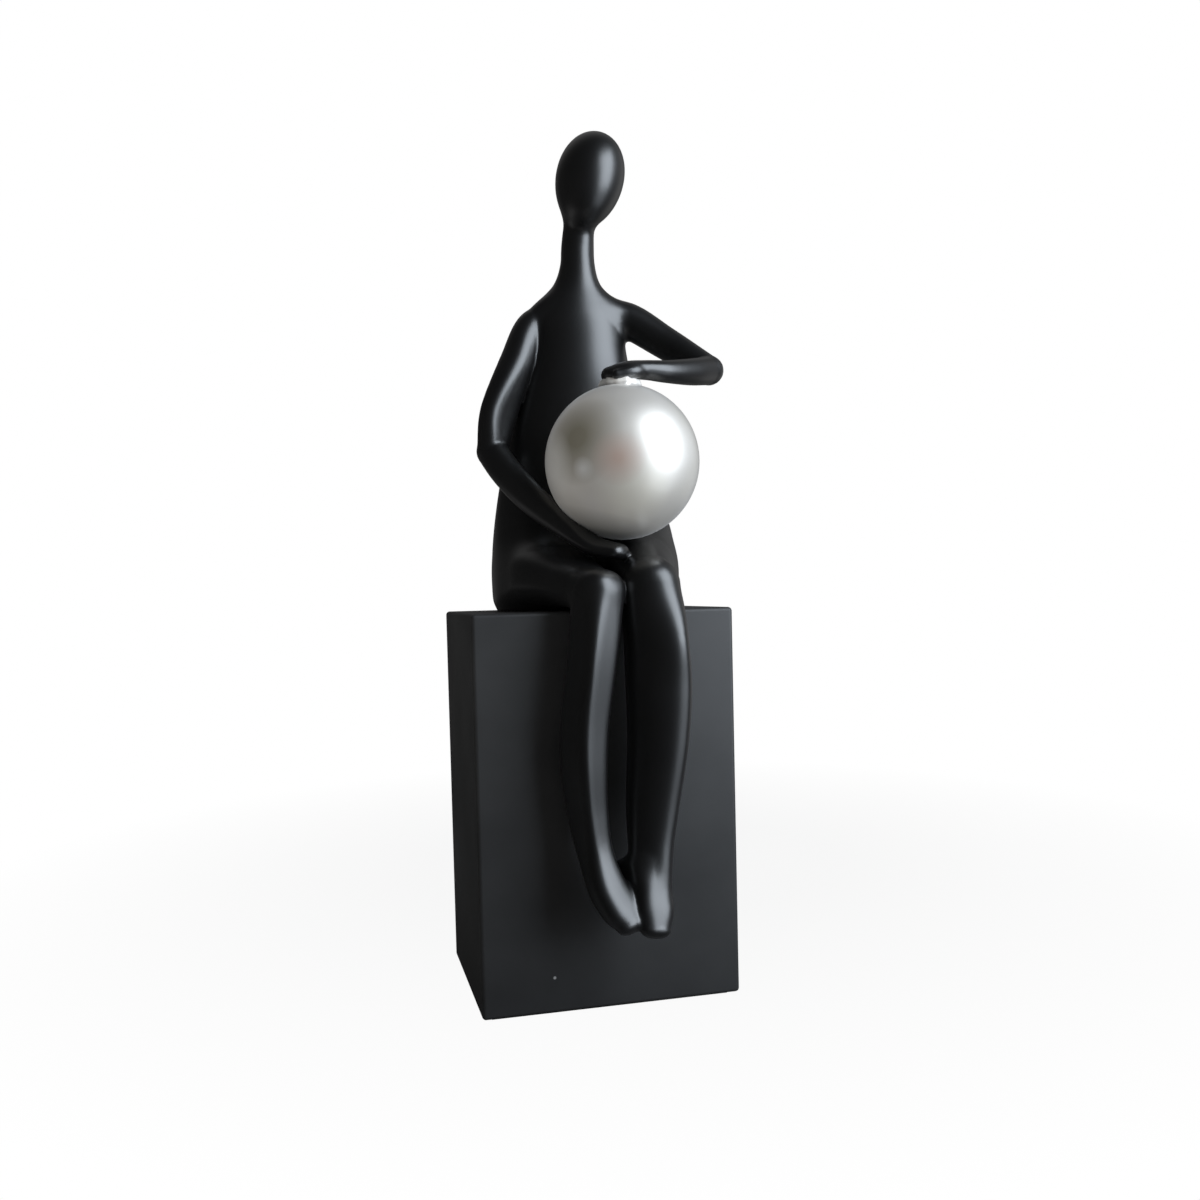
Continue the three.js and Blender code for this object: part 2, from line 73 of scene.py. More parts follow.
TORSO = [
    (0, 42, 0.3, 31.2, 21, 2.5, *FRONT),
    (0, 42, 3.5, 32.4, 22.6, 2.5, *FRONT),
    (0, 42, 11, 32.6, 23.2, 2.5, *FRONT),
    (0, 43, 22, 32.2, 21.5, 2.4, *FRONT),
    (0, 44.5, 32, 31, 17.5, 2.2, *FRONT),
    (0, 46.5, 47, 28.2, 14.2, 2, *FRONT),
    (0, 46, 62, 25, 13, 2, *FRONT),
    (0, 45.3, 75, 21, 12.6, 2, *FRONT),
    (0, 44.3, 90, 17.5, 12, 2, *FRONT),
    (0, 43.5, 101, 16, 10.8, 2, *FRONT),
    (0, 43, 108, 12.6, 8.8, 2, *FRONT),
    (0, 42.5, 114, 8, 7, 2, *FRONT),
    (0.2, 42.4, 120, 6.1, 6.2, 2, *FRONT),
    (0.5, 42.8, 127, 5.7, 6, 2, *FRONT),
    (1.2, 40, 140, 5, 4.8, 2, *FRONT),
]
RIGHT_UPPER_ARM = [
    (-8, 43.5, 102.5, 4.6, 4.6, 2, *FRONT),
    (-16.1, 43.3, 99.2, 5.2, 5.2, 2, *FRONT),
    (-22.5, 40.2, 86, 5.8, 5.5, 2.3, *HALF_RIGHT),
    (-30.4, 37.3, 66, 7.4, 4.5, 2.6, *HALF_RIGHT),
    (-32.9, 35, 54.2, 5.8, 4.8, 2, *HALF_RIGHT),
]
RIGHT_FOREARM = [
    (-32.9, 35, 54.2, 5.3, 5.3, 2, *ABOVE),
    (-29.6, 29.5, 47.4, 5.3, 5.3, 2, *ABOVE),
    (-23, 20.5, 37.6, 5.1, 5.1, 2, *ABOVE),
    (-13.5, 10.5, 27.5, 4.6, 4.2, 2, *ABOVE),
    (-5.5, 3.5, 20.5, 6, 3.2, 2, *ABOVE),
    (0.5, -3, 18.5, 4.6, 2.6, 2, *ABOVE),
]
LEFT_UPPER_ARM = [
    (8, 43, 103.3, 5.2, 5.2, 2, *ABOVE),
    (17, 42, 101.9, 6.1, 6.1, 2, *ABOVE),
    (29.4, 35, 92.6, 5.6, 5.6, 2, *ABOVE),
    (41.5, 24, 81.2, 4.9, 4.9, 2, *ABOVE),
]
LEFT_FOREARM = [
    (41.5, 24, 81.2, 4.9, 4.9, 2, *ABOVE),
    (31.6, 15.5, 78.9, 4.4, 4.4, 2, *ABOVE),
    (20.5, 8.5, 77.5, 3.9, 3.6, 2, *ABOVE),
    (13.3, 6.5, 77.4, 4, 3.1, 2, *ABOVE),
    (6.3, 6, 77.1, 5.4, 2.7, 2, *ABOVE),
    (1, 6, 75.6, 4.4, 2.4, 2, *ABOVE),
]
LEFT_THUMB = [
    (15, 7, 77.2, 2, 2, 2, *ABOVE),
    (8, 2.2, 76, 2.3, 2.2, 2, *ABOVE),
    (2.4, 1.4, 74.8, 1.7, 1.7, 2, *ABOVE),
]
RIGHT_THIGH = [
    (-14.8, 40, 12.5, 15, 11.5, 2.4, *ABOVE),
    (-15.3, 24, 11.8, 15.4, 10.8, 2.4, *ABOVE),
    (-11.8, 5, 9, 10.8, 7.8, 2.4, *ABOVE),
    (-8.4, -8, 5.8, 7.8, 6.8, 2.4, *ABOVE),
]
RIGHT_SHIN = [
    (-8.2, -9.6, 5.2, 7.2, 7.4, 2.6, *RIGHT_FRONT),
    (-11.1, -11.3, -15, 5.9, 6.7, 5, *RIGHT_FRONT),
    (-13.8, -10.6, -35, 5.7, 6.9, 4.6, *RIGHT_FRONT),
    (-14.3, -10.4, -48, 5.3, 6.8, 4.6, *RIGHT_FRONT),
    (-13.4, -10.3, -63, 4.8, 6.1, 4, *RIGHT_FRONT),
    (-11.6, -11.8, -75, 4.9, 5.2, 3, *RIGHT_FRONT),
    (-8.7, -15.5, -85.5, 6.1, 4.6, 2.8, *INSTEP),
    (-5, -18.7, -91.8, 6.6, 4, 2.6, *INSTEP),
    (-3.3, -20.3, -94.8, 5.4, 3.3, 2.2, *INSTEP),
]
LEFT_THIGH = [
    (15, 40, 13, 15.4, 11.5, 2.4, *ABOVE),
    (13.5, 22, 13.5, 12.8, 11.5, 2.2, *ABOVE),
    (10.5, 5, 11.8, 9.8, 9.4, 2, *ABOVE),
    (9.2, -6, 8.5, 8.4, 8.2, 2, *ABOVE),
]
LEFT_SHIN = [
    (9.6, -8, 7.5, 8.8, 8, 2, -0.2, -1, 0),
    (9.6, -11, -8, 10.5, 6.2, 2.1, -0.6, -0.8, 0),
    (10.2, -11, -24, 10.6, 6.2, 2, *LEFT_FRONT),
    (9.8, -10.5, -40, 9.9, 6, 2, *LEFT_FRONT),
    (7.4, -10.5, -62, 8.5, 5.4, 2, *LEFT_FRONT),
    (6.2, -12, -75, 7.1, 5, 2.2, -0.4, -0.9, 0.1),
    (5.2, -15.6, -86.3, 6.2, 4.5, 2.8, *LEFT_INSTEP),
    (4.9, -18.9, -92.6, 6.1, 3.7, 2.8, *LEFT_INSTEP),
    (4.4, -21.2, -97.2, 5, 3, 2.4, *LEFT_INSTEP),
]
ANKLE_WEB = [
    (0, -10.8, -79.5, 7, 2.5, 2, *WEB_FACE),
    (0, -13.5, -89, 5.5, 2.5, 2, *WEB_FACE),
]
HEAD_MIDDLE = np.array([4, 37.5, 148])
HEAD_HALF = np.array([11.7, 13, 17])
HEAD_TAPER = 0.08
HEAD_TILT_SIDE = 0.27
HEAD_TILT_BACK = 0.2

# How softly the forms run into each other, in millimetres
NECK_FILLET = 3
FOLD_FILLET = 1.5
ELBOW_FILLET = 0.5
LEG_FILLET = 3

# Joints between castings: place, fillet there, and how far from it the fillet starts and ends to fall
RIGHT_SHOULDER = ((-10, 43, 107), 6, 4, 11)
LEFT_SHOULDER = ((12, 43, 107), 5, 8, 18)
RIGHT_HIP = ((-15, 36, 13), 7, 14, 34)
LEFT_HIP = ((14, 36, 14), 7, 14, 34)

# How far the figure stays clear of the plinth and the ball, and how deep a seam's lip is, in millimetres
BOND = 0.05
LIP = 1.5

# Meshing, in millimetres: the grid's step, how far around itself a form is worked out, the distance that
# stands for anything beyond, the free space around the figure and the step that slopes are taken over
PITCH = 1.0
REACH = 10.0
FAR = 60.0
MARGIN = 3.0
SLOPE_STEP = 0.1

# A block's side in grid steps, how many points are worked out at once, and steps from station to station
BLOCK = 6
CHUNK = 100000
CURVE_STEPS = 14


# Forms as distance fields

def smooth_curve(rows):
    """Rows of numbers along a smooth curve through the given rows, whose first three are a place."""
    rows = np.array(rows, float)
    knots = np.vstack([2 * rows[0] - rows[1], rows, 2 * rows[-1] - rows[-2]])
    spans = np.linalg.norm(np.diff(knots[:, :3], axis=0), axis=1) ** 0.5
    share = np.linspace(0, 1, CURVE_STEPS, endpoint=False)[:, None]
    stretches = []
    for i in range(1, len(rows)):
        a, b, c, d = knots[i - 1:i + 3]
        first, middle, last = spans[i - 1:i + 2]
        leave = middle * ((b - a) / first - (c - a) / (first + middle) + (c - b) / middle)
        arrive = middle * ((c - b) / middle - (d - b) / (middle + last) + (d - c) / last)
        square = -3 * b + 3 * c - 2 * leave - arrive
        cube = 2 * b - 2 * c + leave + arrive
        stretches.append(b + leave * share + square * share ** 2 + cube * share ** 3)
    return np.vstack(stretches + [rows[-1:]])


def unit(vectors):
    return vectors / np.linalg.norm(vectors, axis=1)[:, None]


class Limb:
    """Sections along a smooth curve, with rounded ends."""

    def __init__(self, stations):
        track = smooth_curve(stations)
        self.middle = track[:, :3]
        self.size = track[:, 3:6]
        self.step = np.gradient(self.middle, axis=0)
        self.across = unit(np.cross(track[:, 6:9], self.step))
        reach = self.size[:, :2].max() + REACH
        self.low = self.middle.min(axis=0) - reach
        self.high = self.middle.max(axis=0) + reach

    def at(self, rows, spot):
        low = np.clip(spot.astype(int), 0, len(rows) - 2)
        share = (spot - low)[:, None]
        return rows[low] * (1 - share) + rows[low + 1] * share

    def nearest(self, points):
        """How far along the curve, in steps, each point's nearest place on it lies."""
        flat = (self.middle ** 2).sum(axis=1) - 2 * points @ self.middle.T
        spot = flat.argmin(axis=1).astype(float)
        for _ in range(4):
            step = self.at(self.step, spot)
            off = points - self.at(self.middle, spot)
            move = (off * step).sum(axis=1) / (step ** 2).sum(axis=1)
            spot = np.clip(spot + np.clip(move, -1, 1), 0, len(self.middle) - 1)
        return spot

    def distance(self, points):
        spot = self.nearest(points)
        off = points - self.at(self.middle, spot)
        along = unit(self.at(self.step, spot))
        across = unit(self.at(self.across, spot))
        through = np.cross(along, across)
        width, depth, power = self.at(self.size, spot).T
        parts = np.stack([(off * way).sum(axis=1) for way in (across, through, along)])
        return oval(parts, np.stack([width, depth, depth]), power)


def oval(parts, half, power):
    """How far outside a rounded form points lie, from their parts along its three half sizes."""
    shares = np.abs(parts / half)
    share = (shares ** power).sum(axis=0) ** (1 / power) + 1e-6
    slope = np.sqrt(((shares ** (power - 1) / half) ** 2).sum(axis=0)) * share ** (1 - power)
    return (share - 1) / (slope + 1e-9)


class Egg:
    """The head: an egg, narrower at the chin, tilted to the figure's left with its chin forward."""

    def __init__(self):
        turn = Matrix.Rotation(HEAD_TILT_SIDE, 3, "Y") @ Matrix.Rotation(-HEAD_TILT_BACK, 3, "X")
        self.turn = np.array(turn)
        self.low = HEAD_MIDDLE - HEAD_HALF.max() - REACH
        self.high = HEAD_MIDDLE + HEAD_HALF.max() + REACH

    def distance(self, points):
        local = (points - HEAD_MIDDLE) @ self.turn
        spread = 1 + HEAD_TAPER * np.clip(local[:, 2] / HEAD_HALF[2], -1, 1)
        height = np.full_like(spread, HEAD_HALF[2])
        half = np.stack([HEAD_HALF[0] * spread, HEAD_HALF[1] * spread, height])
        return oval(local.T, half, 2)


class Joined:
    """Limbs that run into each other with a small fillet, such as an upper arm and a forearm."""

    def __init__(self, fillet, *limbs):
        self.fillet = fillet
        self.limbs = limbs
        self.low = np.min([limb.low for limb in limbs], axis=0)
        self.high = np.max([limb.high for limb in limbs], axis=0)

    def distance(self, points):
        result = self.limbs[0].distance(points)
        for limb in self.limbs[1:]:
            result = soft_union(result, limb.distance(points), self.fillet)
        return result


def soft_union(a, b, fillet):
    overlap = np.maximum(fillet - np.abs(a - b), 0)
    return np.minimum(a, b) - overlap ** 2 / (4 * fillet)


def fillet_round(points, place, near, inner, outer):
    """A fillet radius that falls from `near` at a joint to that of a fold away from it."""
    away = np.linalg.norm(points - np.array(place), axis=1)
    share = np.clip((away - inner) / (outer - inner), 0, 1)
    share = share * share * (3 - 2 * share)
    return near + (FOLD_FILLET - near) * share


FORMS = {
    "torso": Limb(TORSO),
    "head": Egg(),
    "right_arm": Joined(ELBOW_FILLET, Limb(RIGHT_UPPER_ARM), Limb(RIGHT_FOREARM)),
    "left_arm": Joined(ELBOW_FILLET, Limb(LEFT_UPPER_ARM), Limb(LEFT_FOREARM), Limb(LEFT_THUMB)),
    "right_leg": Joined(LEG_FILLET, Limb(RIGHT_THIGH), Limb(RIGHT_SHIN)),
    "left_leg": Joined(LEG_FILLET, Limb(LEFT_THIGH), Limb(LEFT_SHIN), Limb(ANKLE_WEB)),
}
NAMES = list(FORMS)


def distances(points):
    """One column for each form: how far each point lies outside it."""
    columns = []
    for form in FORMS.values():
        column = np.full(len(points), FAR)
        near = ((points > form.low) & (points < form.high)).all(axis=1)
        column[near] = form.distance(points[near])
        columns.append(column)
    return np.stack(columns, axis=1)


def fused(points, apart):
    """The whole figure: its forms run together, clear of the plinth and the ball."""
    torso, head, right_arm, left_arm, right_leg, left_leg = apart.T
    body = soft_union(torso, right_leg, fillet_round(points, *RIGHT_HIP))
    body = soft_union(body, left_leg, fillet_round(points, *LEFT_HIP))
    body = soft_union(body, head, NECK_FILLET)
    body = soft_union(body, right_arm, fillet_round(points, *RIGHT_SHOULDER))
    body = soft_union(body, left_arm, fillet_round(points, *LEFT_SHOULDER))
    plinth = np.maximum(points[:, 2], -points[:, 1]) - BOND
    ball = np.linalg.norm(points - BALL_MIDDLE, axis=1) - BALL_RADIUS - BOND
    return np.maximum(body, -np.minimum(plinth, ball))


def figure_field(points):
    return fused(points, distances(points))


# Meshes from distance fields

CORNERS = np.array([(i, j, k) for i in (0, 1) for j in (0, 1) for k in (0, 1)])
EDGES = [(a, b) for a in range(8) for b in range(a) if np.abs(CORNERS[a] - CORNERS[b]).sum() == 1]


def corner_values(values, cells, corner):
    i, j, k = (cells + corner).T
    return values[i, j, k]


def surface_net(values):
    """Points and four-sided faces of the surface where the values change sign, in grid steps."""
    inside = values < 0
    shape = np.array(values.shape) - 1
    count = np.zeros(shape, int)
    for i, j, k in CORNERS:
        count += inside[i:i + shape[0], j:j + shape[1], k:k + shape[2]]
    cells = np.argwhere((count > 0) & (count < 8))
    number = np.full(shape, -1)
    number[tuple(cells.T)] = np.arange(len(cells))
    total = np.zeros((len(cells), 3))
    crossings = np.zeros((len(cells), 1))
    for a, b in EDGES:
        low = corner_values(values, cells, CORNERS[a])
        high = corner_values(values, cells, CORNERS[b])
        crosses = ((low < 0) != (high < 0))[:, None]
        share = (low / np.where(low == high, 1, low - high))[:, None]
        total += crosses * (CORNERS[a] + share * (CORNERS[b] - CORNERS[a]))
        crossings += crosses
    faces = []
    for axis in range(3):
        step = np.eye(3, dtype=int)
        side, up = step[(axis + 1) % 3], step[(axis + 2) % 3]
        spans = np.argwhere(np.diff(inside.astype(int), axis=axis) != 0)
        around = [spans - side - up, spans - up, spans, spans - side]
        quads = np.stack([number[tuple(c.T)] for c in around], axis=1)
        outward = inside[tuple(spans.T)]
        quads[~outward] = quads[~outward][:, ::-1]
        faces.append(quads)
    return cells + total / crossings, np.vstack(faces)


def slope_of(field, points, level):
    steps = np.eye(3) * SLOPE_STEP
    return np.stack([(field(points + step) - level) / SLOPE_STEP for step in steps], axis=1)


def settle(field, points):
    """Moves points onto the surface of a field, and returns them with the outward directions there."""
    for _ in range(3):
        level = field(points)
        slope = slope_of(field, points, level)
        move = level[:, None] * slope / ((slope ** 2).sum(axis=1)[:, None] + 1e-9)
        points = points - np.clip(move, -PITCH / 2, PITCH / 2)
    return points, unit(slope_of(field, points, field(points)) + 1e-9)


def grid_values(field, low, size):
    """A field's values on a grid. Blocks well away from the surface keep the value at their middle."""
    blocks = -(-size // BLOCK)
    middles = (np.indices(blocks).reshape(3, -1).T + 0.5) * BLOCK
    values = field(middles * PITCH + low).reshape(blocks)
    for axis in range(3):
        values = values.repeat(BLOCK, axis)
    near = np.argwhere(np.abs(values) < 1.5 * BLOCK * PITCH)
    for part in np.array_split(near, len(near) // CHUNK + 1):
        values[tuple(part.T)] = field(part * PITCH + low)
    return values


def place(points):
    return points * MM + FIGURE_ORIGIN


def new_object(name, mesh, material, slot, *nodes):
    mesh.materials.append(material)
    piece = bpy.data.objects.new(name, mesh)
    bpy.context.scene.collection.objects.link(piece)
    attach(piece, "root")
    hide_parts(*nodes)


def figure_surface():
    """The figure's points, outward directions and faces, and the number of each face's form."""
    low = np.min([form.low for form in FORMS.values()], axis=0) + REACH - MARGIN
    high = np.max([form.high for form in FORMS.values()], axis=0) - REACH + MARGIN
    size = np.ceil((high - low) / PITCH).astype(int) + 1
    points, faces = surface_net(grid_values(figure_field, low, size))
    points, normals = settle(figure_field, points * PITCH + low)
    owners = distances(points[faces].mean(axis=1)).argmin(axis=1)
    return points, normals, faces, owners


def lip_faces(faces, count):
    """Faces that turn inward along the rim of some faces, to points numbered on from the outer ones."""
    edges = [(face[i - 1], face[i]) for face in faces.tolist() for i in range(4)]
    known = set(edges)
    return [(b, a, a + count, b + count) for a, b in edges if (b, a) not in known]


def figure_piece(name, surface, material):
    """One form's share of the figure's surface, with a lip inside the seam to its neighbours."""
    points, normals, faces, owners = surface
    used, faces = np.unique(faces[owners == NAMES.index(name)], return_inverse=True)
    faces = faces.reshape(-1, 4)
    points, normals = points[used], normals[used]
    lips = lip_faces(faces, len(points))
    inner = sorted({corner for lip in lips for corner in lip[2:]})
    mesh = bpy.data.meshes.new(name + "_form")
    rename = {corner: len(points) + i for i, corner in enumerate(inner)}
    lips = [(a, b, rename[c], rename[d]) for a, b, c, d in lips]
    rim = np.array(inner, int) - len(points)
    normals = np.vstack([normals, normals[rim]])
    points = np.vstack([points, points[rim] - LIP * normals[rim]])
    mesh.from_pydata(place(points).tolist(), [], faces.tolist() + lips)
    mesh.polygons.foreach_set("use_smooth", [True] * len(mesh.polygons))
    mesh.normals_split_custom_set_from_vertices(normals.tolist())
    new_object(name + "_form", mesh, material, "figure_paint", name)


# Ball and plinth

def lathe(profile, middle, turns, wobble):
    """A closed mesh turned about a vertical line. Wobble moves a profile point, by number and angle."""
    mesh = bmesh.new()
    rings = []
    for index, (radius, height) in enumerate(profile):
        if radius < 1e-6:
            rings.append([mesh.verts.new(place(middle + np.array([0, 0, height])))])
            continue
        ring = []
        for turn in range(turns):
            angle = 2 * math.pi * turn / turns
            out, rise = wobble(index, angle)
            reach = radius + out
            spot = middle + np.array([reach * math.cos(angle), reach * math.sin(angle), height + rise])
            ring.append(mesh.verts.new(place(spot)))
        rings.append(ring)
    for low, high in zip(rings, rings[1:]):
        for turn in range(turns):
            after = (turn + 1) % turns
            below = [low[turn % len(low)], low[after % len(low)]]
            above = [high[after % len(high)], high[turn % len(high)]]
            mesh.faces.new(list(dict.fromkeys(below + above)))
    return mesh


def ball_form(material):
    """The ball with the ragged collar around its dowel hole."""
    collar = 6.7
    flare = 0.5
    taper = 0.9
    rim_round = 1.1
    rim_rise = 0.15
    bore = 1.8
    bore_depth = 7.5
    arc_steps = 64
    turns = 128
    neck = math.asin(collar / BALL_RADIUS)
    profile = []
    for step in range(arc_steps + 1):
        angle = math.pi - (math.pi - neck) * step / arc_steps
        profile.append((BALL_RADIUS * math.sin(angle), BALL_RADIUS * math.cos(angle)))
    rim = COLLAR_TOP - BALL_MIDDLE[2]
    start = len(profile)
    foot = profile[-1][1]
    for share in (0.25, 0.5, 0.75, 1):
        profile.append((collar + flare - taper * share, foot + (rim - foot) * share))
    profile.append((collar - rim_round, rim + rim_rise))
    profile.append((bore, rim))
    profile.append((bore, rim - bore_depth))
    profile.append((0, rim - bore_depth))

    def wobble(index, angle):
        share = (index - start + 1) / 4
        if not 0 < share < 1.5:
            return 0, 0
        ragged = 0.3 * math.sin(3 * angle + 1) + 0.2 * math.sin(7 * angle)
        ragged += 0.12 * math.sin(13 * angle + 2)
        return ragged, 0.3 * share * math.sin(4 * angle + 0.5)

    mesh = bpy.data.meshes.new("ball_form")
    turned = lathe(profile, BALL_MIDDLE, turns, wobble)
    bmesh.ops.recalc_face_normals(turned, faces=turned.faces)
    turned.to_mesh(mesh)
    mesh.polygons.foreach_set("use_smooth", [True] * len(mesh.polygons))
    new_object("ball_form", mesh, material, "ball_silver", "ball")


def plinth_form(material):
    """The plinth's shell with softly rounded edges, hollow from below."""
    wall = 5 * MM
    top = 6 * MM
    edge = 1.3 * MM
    shell = bmesh.new()
    for vert in bmesh.ops.create_cube(shell, size=1)["verts"]:
        sides = zip(vert.co, plinth_low, plinth_high)
        vert.co = Vector(high if side > 0 else low for side, low, high in sides)
    bottom = [f for f in shell.faces if f.normal.z < -0.5]
    bmesh.ops.inset_region(shell, faces=bottom, thickness=wall)
    raised = bmesh.ops.extrude_face_region(shell, geom=bottom)
    lifted = [v for v in raised["geom"] if isinstance(v, bmesh.types.BMVert)]
    bmesh.ops.delete(shell, geom=bottom, context="FACES")
    for vert in lifted:
        vert.co.z = plinth_high.z - top
    edges = [e for e in shell.edges if all(on_outside(v.co) for v in e.verts)]
    bmesh.ops.bevel(shell, geom=edges, offset=edge, segments=6, profile=0.5, affect="EDGES")
    bmesh.ops.recalc_face_normals(shell, faces=shell.faces)
    mesh = bpy.data.meshes.new("plinth_form")
    shell.to_mesh(mesh)
    mesh.polygons.foreach_set("use_smooth", [True] * len(mesh.polygons))
    new_object("plinth_form", mesh, material, "plinth_paint", "plinth_shell")


def on_outside(spot):
    """Whether a corner of the shell is one of the plinth's outer corners."""
    away = [min(abs(spot[i] - plinth_low[i]), abs(spot[i] - plinth_high[i])) for i in (0, 1)]
    return max(away) < 1e-6


# Materials

# Painted reflections, a painted highlight and painted shade on the ball, laid on as soft clouds: way out
# from its middle, full and fading reach in millimetres, share and colour
BALL_PAINTED_LIGHT = [
    # painted light on the lower front
    ((-0.1, -0.85, -0.5), 4, 13, 0.7, (0.98, 0.94, 0.82)),
    # painted dark reflection at the upper left
    ((-0.74, -0.63, 0.23), 3, 15, 0.9, (0.33, 0.3, 0.22)),
    # painted warm reflection in the middle
    ((-0.31, -0.95, -0.05), 1, 9, 0.85, (0.74, 0.55, 0.46)),
    # painted highlight: a small spot low on the left
    ((-0.69, -0.7, -0.16), 0.5, 4, 0.8, (0.98, 0.97, 0.94)),
    # painted shade across the bottom
    ((-0.24, 0.06, -0.97), 8, 19, 0.85, (0.2, 0.2, 0.18)),
    # painted light along the left rim
    ((-0.96, -0.2, -0.05), 4, 11, 0.8, (0.98, 0.96, 0.9)),
    # painted shade on the top beside the collar
    ((-0.26, -0.07, 1.02), 2.5, 6.5, 0.8, (0.25, 0.25, 0.24)),
]
# Height of the collar's foot above the ball's middle, as a share of the radius
COLLAR_FOOT = 0.965
# Small marks on the plinth's front: across, height and size in millimetres, and how bare they are
PLINTH_MARKS = [(-19.6, 12.5, 0.6, 0.9)]
BARE = (0.45, 0.45, 0.44)


def new_material(name):
    material = bpy.data.materials.new(name)
    material.use_nodes = True
    tree = material.node_tree
    return material, tree, tree.nodes["Principled BSDF"]


def noise(tree, scale, detail=3.0):
    """A noise in the object's own places."""
    place_node = tree.nodes.new("ShaderNodeTexCoord")
    texture = tree.nodes.new("ShaderNodeTexNoise")
    texture.inputs["Scale"].default_value = scale
    texture.inputs["Detail"].default_value = detail
    tree.links.new(place_node.outputs["Object"], texture.inputs["Vector"])
    return texture.outputs["Fac"]


def map_range(tree, value, start, end, low, high):
    node = tree.nodes.new("ShaderNodeMapRange")
    for socket, number in zip(node.inputs[1:5], (start, end, low, high)):
        socket.default_value = number
    tree.links.new(value, node.inputs["Value"])
    return node.outputs["Result"]


def math_node(tree, operation, first, second):
    node = tree.nodes.new("ShaderNodeMath")
    node.operation = operation
    for socket, value in zip(node.inputs, (first, second)):
        if isinstance(value, (int, float)):
            socket.default_value = value
        else:
            tree.links.new(value, socket)
    return node.outputs["Value"]


def along(tree, way, axis):
    node = tree.nodes.new("ShaderNodeVectorMath")
    node.operation = "DOT_PRODUCT"
    node.inputs[1].default_value = axis
    tree.links.new(way, node.inputs[0])
    return node.outputs["Value"]


def spread(tree, fac, low, high):
    return map_range(tree, fac, 0.3, 0.7, low, high)


def tint(tree, fac, dark, light):
    node = tree.nodes.new("ShaderNodeMix")
    node.data_type = "RGBA"
    node.inputs["A"].default_value = (*dark, 1)
    node.inputs["B"].default_value = (*light, 1)
    tree.links.new(spread(tree, fac, 0, 1), node.inputs["Factor"])
    return node.outputs["Result"]


def bump(tree, shader, fac, strength, distance):
    node = tree.nodes.new("ShaderNodeBump")
    node.inputs["Strength"].default_value = strength
    node.inputs["Distance"].default_value = distance
    tree.links.new(fac, node.inputs["Height"])
    tree.links.new(node.outputs["Normal"], shader.inputs["Normal"])


def finish_of(name, dark, light, grain, roughness, bump_scale, bump_depth):
    """A painted or plain surface: two tones in a noise of scale `grain`, uneven gloss and a fine relief."""
    material, tree, shader = new_material(name)
    tree.links.new(tint(tree, noise(tree, grain), dark, light), shader.inputs["Base Color"])
    tree.links.new(spread(tree, noise(tree, grain * 0.6), *roughness), shader.inputs["Roughness"])
    bump(tree, shader, noise(tree, bump_scale, 2), 0.2, bump_depth)
    return material, shader


def cloud(tree, shader, middle, core, rim, share, colour):
    """A soft patch of another colour, full within `core` of a place and gone at `rim`, in metres."""
    spot = tree.nodes.new("ShaderNodeTexCoord")
    away = tree.nodes.new("ShaderNodeVectorMath")
    away.operation = "DISTANCE"
    away.inputs[1].default_value = middle
    tree.links.new(spot.outputs["Object"], away.inputs[0])
    node = tree.nodes.new("ShaderNodeMix")
    node.data_type = "RGBA"
    tree.links.new(map_range(tree, away.outputs["Value"], core, rim, share, 0), node.inputs["Factor"])
    tree.links.new(shader.inputs["Base Color"].links[0].from_socket, node.inputs["A"])
    node.inputs["B"].default_value = (*colour, 1)
    tree.links.new(node.outputs["Result"], shader.inputs["Base Color"])


def figure_paint():
    dark, light = (0.0015, 0.0015, 0.0017), (0.003, 0.003, 0.0033)
    material, shader = finish_of("satin black paint", dark, light, 55, (0.34, 0.4), 900, 0.00003)
    shader.inputs["Coat Weight"].default_value = 1
    shader.inputs["Coat Roughness"].default_value = 0.33
    return material


def plinth_paint():
    dark, light = (0.017, 0.017, 0.0175), (0.028, 0.028, 0.0285)
    material, shader = finish_of("satin black plinth paint", dark, light, 35, (0.48, 0.54), 1600, 0.00003)
    shader.inputs["Specular IOR Level"].default_value = 0.7
    for across, height, size, share in PLINTH_MARKS:
        middle = Vector((across * MM, plinth_low.y, height * MM))
        cloud(material.node_tree, shader, middle, size * MM / 2, size * MM, share, BARE)
    return material


def silver_paint():
    """Silver pearl paint with soft clouds of painted reflection, highlight and shade, paler and less
    metallic on the rough collar.
    """
    dark, light = (0.73, 0.69, 0.61), (0.92, 0.89, 0.85)
    material, shader = finish_of("silver pearl paint", dark, light, 25, (0.43, 0.49), 700, 0.00002)
    tree = material.node_tree
    spot = tree.nodes.new("ShaderNodeTexCoord")
    height = along(tree, spot.outputs["Object"], (0, 0, 1))
    foot = place(BALL_MIDDLE)[2] + BALL_RADIUS * COLLAR_FOOT * MM
    tree.links.new(map_range(tree, height, foot, foot + MM, 0.6, 0.1), shader.inputs["Metallic"])
    # The ball's painted reflections, highlight and shade
    for way, core, rim, share, colour in BALL_PAINTED_LIGHT:
        middle = place(BALL_MIDDLE + BALL_RADIUS * np.array(way))
        cloud(tree, shader, middle, core * MM, rim * MM, share, colour)
    shader.inputs["Sheen Weight"].default_value = 0.4
    shader.inputs["Sheen Roughness"].default_value = 0.3
    shader.inputs["Coat Weight"].default_value = 0.5
    shader.inputs["Coat Roughness"].default_value = 0.12
    return material


def steel():
    dark, light = (0.5, 0.5, 0.49), (0.62, 0.62, 0.6)
    material, shader = finish_of("zinc plated steel", dark, light, 300, (0.3, 0.42), 2500, 0.00002)
    shader.inputs["Metallic"].default_value = 1
    return material


def board():
    dark, light = (0.16, 0.11, 0.07), (0.24, 0.17, 0.11)
    return finish_of("fibre board", dark, light, 220, (0.75, 0.9), 1400, 0.0001)[0]


def felt():
    dark, light = (0.012, 0.012, 0.013), (0.03, 0.03, 0.032)
    material, shader = finish_of("black felt", dark, light, 900, (0.9, 1), 2200, 0.0003)
    shader.inputs["Sheen Weight"].default_value = 0.3
    return material


# Studio

DAYLIGHT = (0.83, 0.91, 1)
LAMP_AIM = Vector((0, 0, 0.17))


